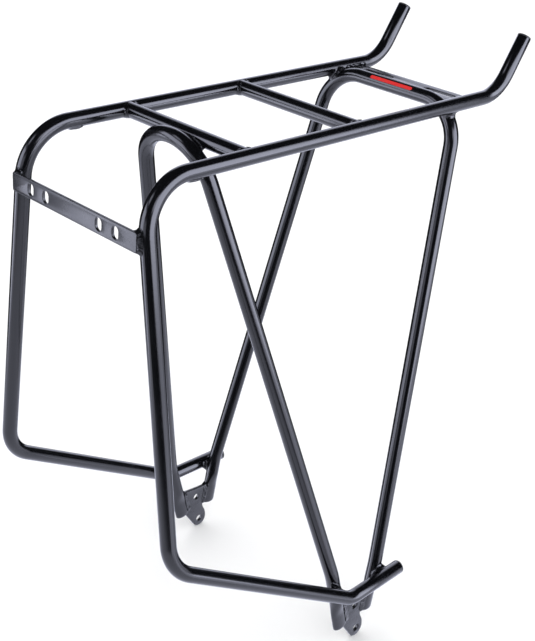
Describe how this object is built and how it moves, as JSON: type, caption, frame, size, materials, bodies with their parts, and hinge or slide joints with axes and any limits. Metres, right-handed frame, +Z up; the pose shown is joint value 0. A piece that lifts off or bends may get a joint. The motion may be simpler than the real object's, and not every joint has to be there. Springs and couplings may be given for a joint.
{
  "type": "rear bicycle rack",
  "caption": "Welded tubular steel luggage rack for the rear of a bicycle: platform with horns, low pannier rails, hoop legs with dropout plates, slotted stay plate and lamp plate.",
  "frame": {"origin": "midway between the two lower eyelets, on the line through their centres, where the rack hangs on the bicycle's dropouts", "axes": "+Z up, +Y forward in the direction of travel, towards the horns, +X to the rack's right"},
  "size_m": [0.2068, 0.3533, 0.4257],
  "materials": {
    "tube_coat": "black powder coat, satin gloss",
    "plate_coat": "black powder coat, satin gloss, on flat sheet",
    "weld_coat": "black powder coat over rippled weld",
    "stripe_film": "plain red stripe under clear coat",
    "plug_plastic": "matt black moulded plastic"
  },
  "bodies": {
    "root": {"rail_right": "tube_coat", "rail_left": "tube_coat", "rear_hoop": "tube_coat", "front_hoop": "tube_coat", "rear_cross_tube": "tube_coat", "middle_cross_tube": "tube_coat", "bar_stripe": "stripe_film", "stay_plate": "plate_coat", "light_plate": "plate_coat", "dropout_right": "plate_coat", "dropout_left": "plate_coat", "stop_lug_right": "plate_coat", "stop_lug_left": "plate_coat", "horn_plug_right": "plug_plastic", "horn_plug_left": "plug_plastic", "lower_plug_right": "plug_plastic", "lower_plug_left": "plug_plastic", "weld_rear_cross_right": "weld_coat", "weld_rear_cross_left": "weld_coat", "weld_middle_cross_right": "weld_coat", "weld_middle_cross_left": "weld_coat", "weld_front_hoop_right": "weld_coat", "weld_front_hoop_left": "weld_coat", "weld_stay_plate_right": "weld_coat", "weld_stay_plate_left": "weld_coat", "weld_light_plate_right": "weld_coat", "weld_light_plate_left": "weld_coat", "weld_rear_leg_right": "weld_coat", "weld_rear_leg_left": "weld_coat", "weld_front_leg_right": "weld_coat", "weld_front_leg_left": "weld_coat", "weld_dropout_rear_right": "weld_coat", "weld_dropout_rear_left": "weld_coat", "weld_dropout_front_right": "weld_coat", "weld_dropout_front_left": "weld_coat", "weld_stop_lug_right": "weld_coat", "weld_stop_lug_left": "weld_coat", "weld_arch": "weld_coat", "weld_stay_plate_bar": "weld_coat"}
  },
  "joints": []
}
